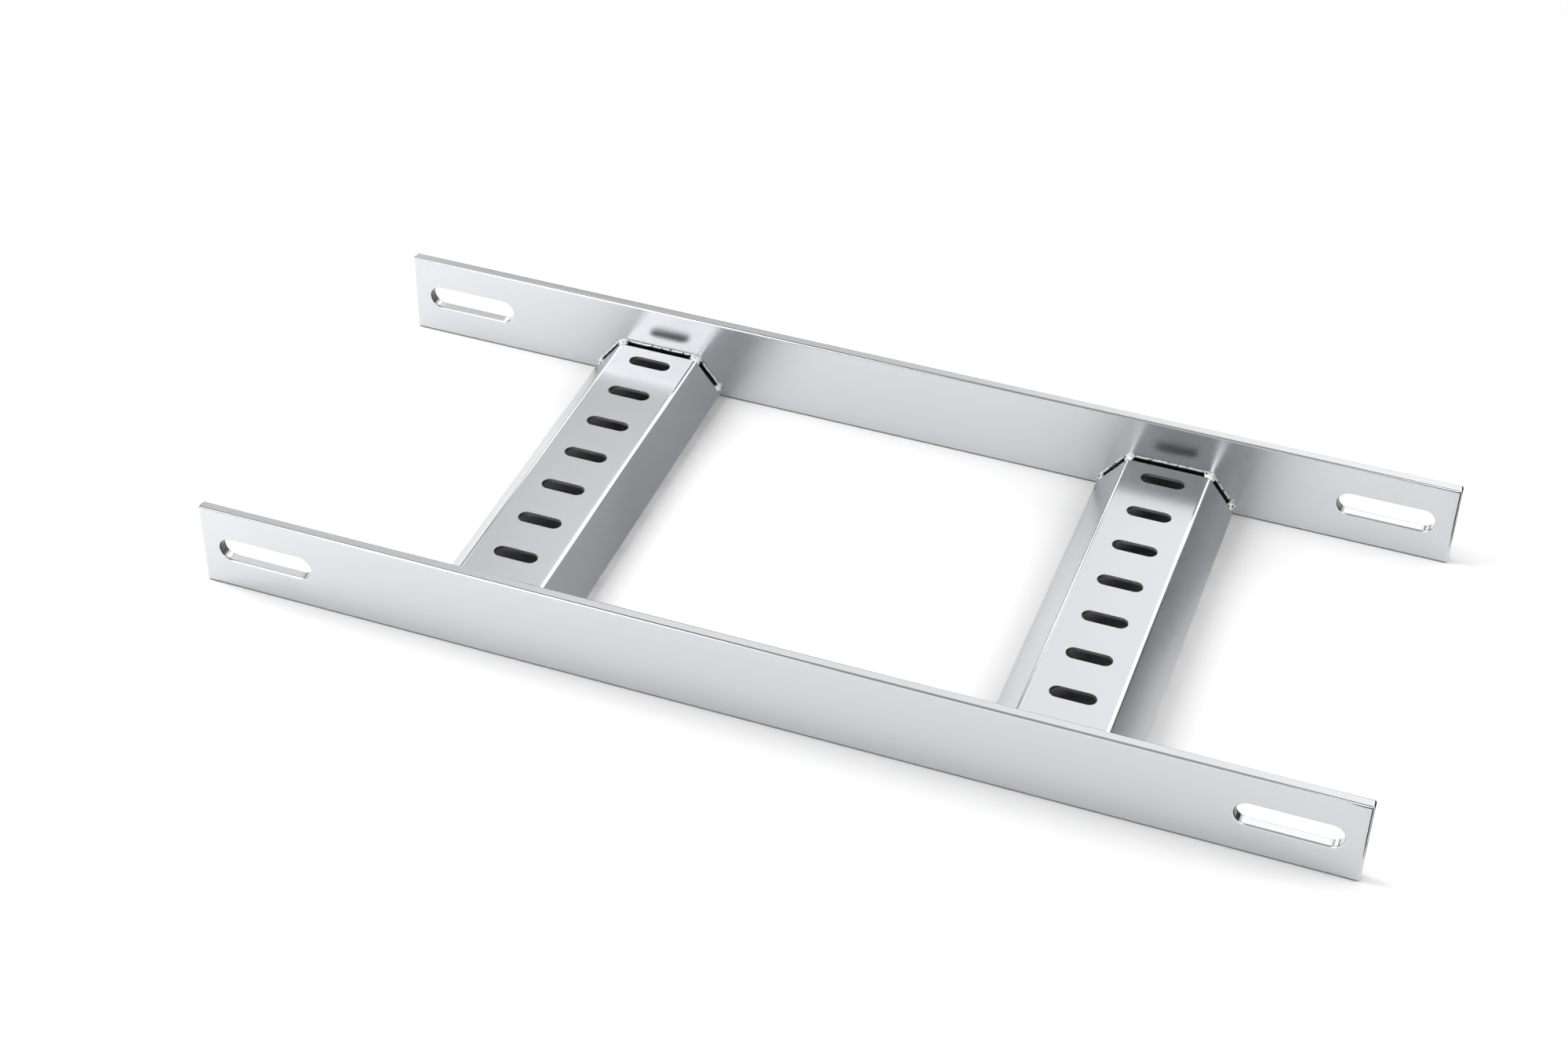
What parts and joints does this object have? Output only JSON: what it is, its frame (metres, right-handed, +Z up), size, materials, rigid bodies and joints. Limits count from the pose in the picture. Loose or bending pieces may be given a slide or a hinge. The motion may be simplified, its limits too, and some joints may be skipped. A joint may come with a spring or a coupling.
{
  "type": "cable ladder section",
  "caption": "Short section of metal cable ladder: flat bar side rails on edge with slotted ends, joined by folded trapezoid rungs with cross slots for cable ties.",
  "frame": {"origin": "middle of the footprint, level with the undersides of the rails", "axes": "+X along the rails, +Y across the ladder from the near rail to the far rail, +Z up"},
  "size_m": [0.5, 0.21, 0.04],
  "materials": {
    "rail_metal": "satin mill finish",
    "rung_metal": "satin folded sheet",
    "weld_metal": "bright as-welded"
  },
  "bodies": {
    "root": {"side_rail_near": "rail_metal", "side_rail_far": "rail_metal", "rung_1": "rung_metal", "rung_2": "rung_metal", "tack_welds_1": "weld_metal", "tack_welds_2": "weld_metal"}
  },
  "joints": []
}
